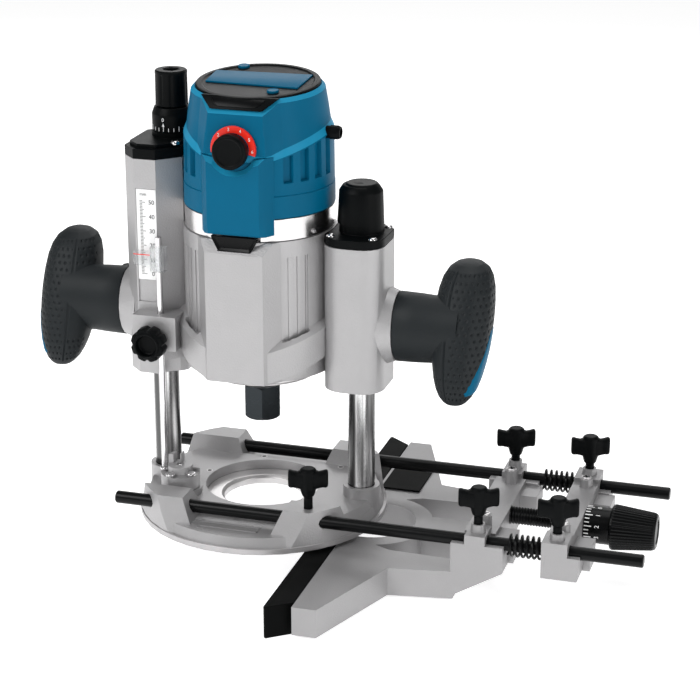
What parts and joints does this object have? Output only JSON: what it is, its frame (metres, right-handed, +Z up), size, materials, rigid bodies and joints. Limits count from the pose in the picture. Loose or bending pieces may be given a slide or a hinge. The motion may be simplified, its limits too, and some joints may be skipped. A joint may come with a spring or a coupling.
{
  "type": "plunge router",
  "caption": "Plunge router with two side grips, round sole, depth stop and turret, and a parallel guide with fine adjuster on two rods.",
  "frame": {"origin": "middle of the underside of the part's box, on the line under the guide rods' middle", "axes": "+X along the guide rods towards the guide's fine adjuster, +Y to the rear of the machine, +Z up along the spindle"},
  "size_m": [0.44, 0.304, 0.331],
  "materials": {
    "cast_aluminium": "fine cast and bead-blasted aluminium",
    "machined_aluminium": "machined aluminium",
    "polished_steel": "ground and polished steel",
    "black_steel": "blackened steel",
    "black_plastic": "fine-grained black plastic",
    "grip_rubber": "soft dark grip with dimples",
    "blue_plastic": "satin blue plastic",
    "pale_label": "white printed scale",
    "clear_plastic": "clear plastic",
    "copper": "copper winding and steel core",
    "silicon_steel": "laminated steel",
    "bronze": "bearing bronze",
    "carbon": "carbon brush and holder",
    "circuit_board": "coated board"
  },
  "bodies": {
    "base": {"base_casting": "cast_aluminium", "adaptor_ring": "machined_aluminium", "column_left": "polished_steel", "column_right": "polished_steel", "column_spring_left": "black_steel", "column_spring_right": "black_steel", "turret_pin": "polished_steel"},
    "base_wing_front": {"base_wing_screw_front": "black_plastic"},
    "base_wing_rear": {"base_wing_screw_rear": "black_plastic"},
    "turret": {"depth_turret": "cast_aluminium"},
    "carriage": {"carriage_casting": "cast_aluminium", "column_bush_left": "bronze", "column_bush_right": "bronze", "lower_end_plate": "machined_aluminium", "motor_barrel": "polished_steel", "motor_housing": "blue_plastic", "top_cap": "black_plastic", "cable_gland": "black_plastic", "stator_core": "silicon_steel", "bearing_lower": "polished_steel", "bearing_upper": "polished_steel", "brush_left": "carbon", "brush_right": "carbon", "electronics_board": "circuit_board", "left_cap": "black_plastic", "ruler_plate": "pale_label", "right_cap": "black_plastic", "grip_right": "grip_rubber", "grip_left": "grip_rubber", "grip_inlay_right": "blue_plastic", "grip_inlay_left": "blue_plastic"},
    "spindle": {"spindle_shaft": "polished_steel", "collet": "polished_steel", "collet_nut": "black_steel", "armature_core": "copper", "cooling_fan": "black_plastic"},
    "dial": {"speed_dial": "black_plastic"},
    "lock_button": {"spindle_lock_button": "black_plastic"},
    "trigger": {"power_trigger": "black_plastic"},
    "lock_lever": {"plunge_lock_lever": "black_plastic"},
    "fine_knob": {"depth_fine_knob": "black_plastic"},
    "fine_ring": {"depth_scale_ring": "black_plastic"},
    "clamp_knob": {"depth_clamp_knob": "black_plastic"},
    "stop_rod": {"depth_rod": "polished_steel"},
    "pointer": {"depth_pointer": "clear_plastic"},
    "rods": {"guide_rod_front": "black_steel", "guide_rod_rear": "black_steel"},
    "outer": {"outer_carriage": "cast_aluminium", "guide_spring_front": "black_steel", "guide_spring_rear": "black_steel"},
    "outer_wing_front": {"guide_wing_outer_front": "black_plastic"},
    "outer_wing_rear": {"guide_wing_outer_rear": "black_plastic"},
    "adjuster": {"fine_adjust_knob": "black_plastic"},
    "adjuster_ring": {"fine_adjust_scale": "black_plastic"},
    "fence": {"fence_casting": "cast_aluminium", "fence_strip_front": "black_plastic", "fence_strip_rear": "black_plastic", "guide_plate": "black_plastic"},
    "inner_wing_front": {"guide_wing_inner_front": "black_plastic"},
    "inner_wing_rear": {"guide_wing_inner_rear": "black_plastic"}
  },
  "joints": [
    {"name": "plunge_slide", "type": "slide", "parent": "base", "child": "carriage", "axis": [0, 0, -1], "range_m": [0, 0.076], "stiffness_N_per_m": 600, "springref_m": -0.14, "deforming": ["column_spring_left", "column_spring_right"]},
    {"name": "depth_rod_slide", "type": "slide", "parent": "carriage", "child": "stop_rod", "axis": [0, 0, 1], "range_m": [0, 0.076]},
    {"name": "pointer_slide", "type": "slide", "parent": "stop_rod", "child": "pointer", "axis": [0, 0, 1], "range_m": [-0.028, 0.005]},
    {"name": "clamp_knob_turn", "type": "hinge", "parent": "carriage", "child": "clamp_knob", "pos_m": [-0.1225, -0.047, 0.1527], "axis": [0, -1, 0], "range_deg": [-180, 180]},
    {"name": "fine_knob_turn", "type": "hinge", "parent": "carriage", "child": "fine_knob", "pos_m": [-0.123, 0.009, 0.315], "axis": [0, 0, 1], "continuous": true},
    {"name": "fine_ring_turn", "type": "hinge", "parent": "carriage", "child": "fine_ring", "pos_m": [-0.123, 0.009, 0.297], "axis": [0, 0, 1], "continuous": true},
    {"name": "turret_turn", "type": "hinge", "parent": "base", "child": "turret", "pos_m": [-0.1085, -0.0315, 0.05], "axis": [0, 0, 1], "continuous": true},
    {"name": "spindle_turn", "type": "hinge", "parent": "carriage", "child": "spindle", "pos_m": [-0.058, 0, 0.2], "axis": [0, 0, 1], "continuous": true},
    {"name": "dial_turn", "type": "hinge", "parent": "carriage", "child": "dial", "pos_m": [-0.058, -0.058, 0.293], "axis": [0, -1, 0], "range_deg": [-150, 150]},
    {"name": "lock_button_press", "type": "slide", "parent": "carriage", "child": "lock_button", "axis": [0, 1, 0], "range_m": [0, 0.004], "stiffness_N_per_m": 1200, "springref_m": -0.0005},
    {"name": "trigger_press", "type": "slide", "parent": "carriage", "child": "trigger", "axis": [0, -1, 0], "range_m": [0, 0.0025], "stiffness_N_per_m": 1500, "springref_m": -0.002},
    {"name": "lock_lever_turn", "type": "hinge", "parent": "carriage", "child": "lock_lever", "pos_m": [-0.128, 0.0313, 0.176], "axis": [0, 1, 0], "range_deg": [-10, 25]},
    {"name": "base_wing_front_turn", "type": "hinge", "parent": "base", "child": "base_wing_front", "pos_m": [-0.007, -0.057, 0.07], "axis": [0, 0, 1], "continuous": true},
    {"name": "base_wing_rear_turn", "type": "hinge", "parent": "base", "child": "base_wing_rear", "pos_m": [-0.007, 0.057, 0.07], "axis": [0, 0, 1], "continuous": true},
    {"name": "rods_slide", "type": "slide", "parent": "base", "child": "rods", "axis": [1, 0, 0], "range_m": [0, 0.1]},
    {"name": "outer_slide", "type": "slide", "parent": "rods", "child": "outer", "axis": [1, 0, 0], "range_m": [0, 0.03]},
    {"name": "outer_wing_front_turn", "type": "hinge", "parent": "outer", "child": "outer_wing_front", "pos_m": [0.163, -0.057, 0.07], "axis": [0, 0, 1], "continuous": true},
    {"name": "outer_wing_rear_turn", "type": "hinge", "parent": "outer", "child": "outer_wing_rear", "pos_m": [0.163, 0.057, 0.07], "axis": [0, 0, 1], "continuous": true},
    {"name": "adjuster_turn", "type": "hinge", "parent": "outer", "child": "adjuster", "pos_m": [0.18, 0, 0.0378], "axis": [1, 0, 0], "range_deg": [-1100, 1460]},
    {"name": "adjuster_ring_turn", "type": "hinge", "parent": "outer", "child": "adjuster_ring", "pos_m": [0.18, 0, 0.0378], "axis": [1, 0, 0], "continuous": true},
    {"name": "fence_slide", "type": "slide", "parent": "outer", "child": "fence", "axis": [1, 0, 0], "range_m": [-0.006, 0.008], "deforming": ["guide_spring_front", "guide_spring_rear"]},
    {"name": "inner_wing_front_turn", "type": "hinge", "parent": "fence", "child": "inner_wing_front", "pos_m": [0.1102, -0.057, 0.07], "axis": [0, 0, 1], "continuous": true},
    {"name": "inner_wing_rear_turn", "type": "hinge", "parent": "fence", "child": "inner_wing_rear", "pos_m": [0.1102, 0.057, 0.07], "axis": [0, 0, 1], "continuous": true}
  ],
  "couplings": [
    {"joint": "depth_rod_slide", "follows": "plunge_slide", "ratio": 1},
    {"joint": "adjuster_turn", "follows": "fence_slide", "rad_per_m": 3141.6}
  ]
}
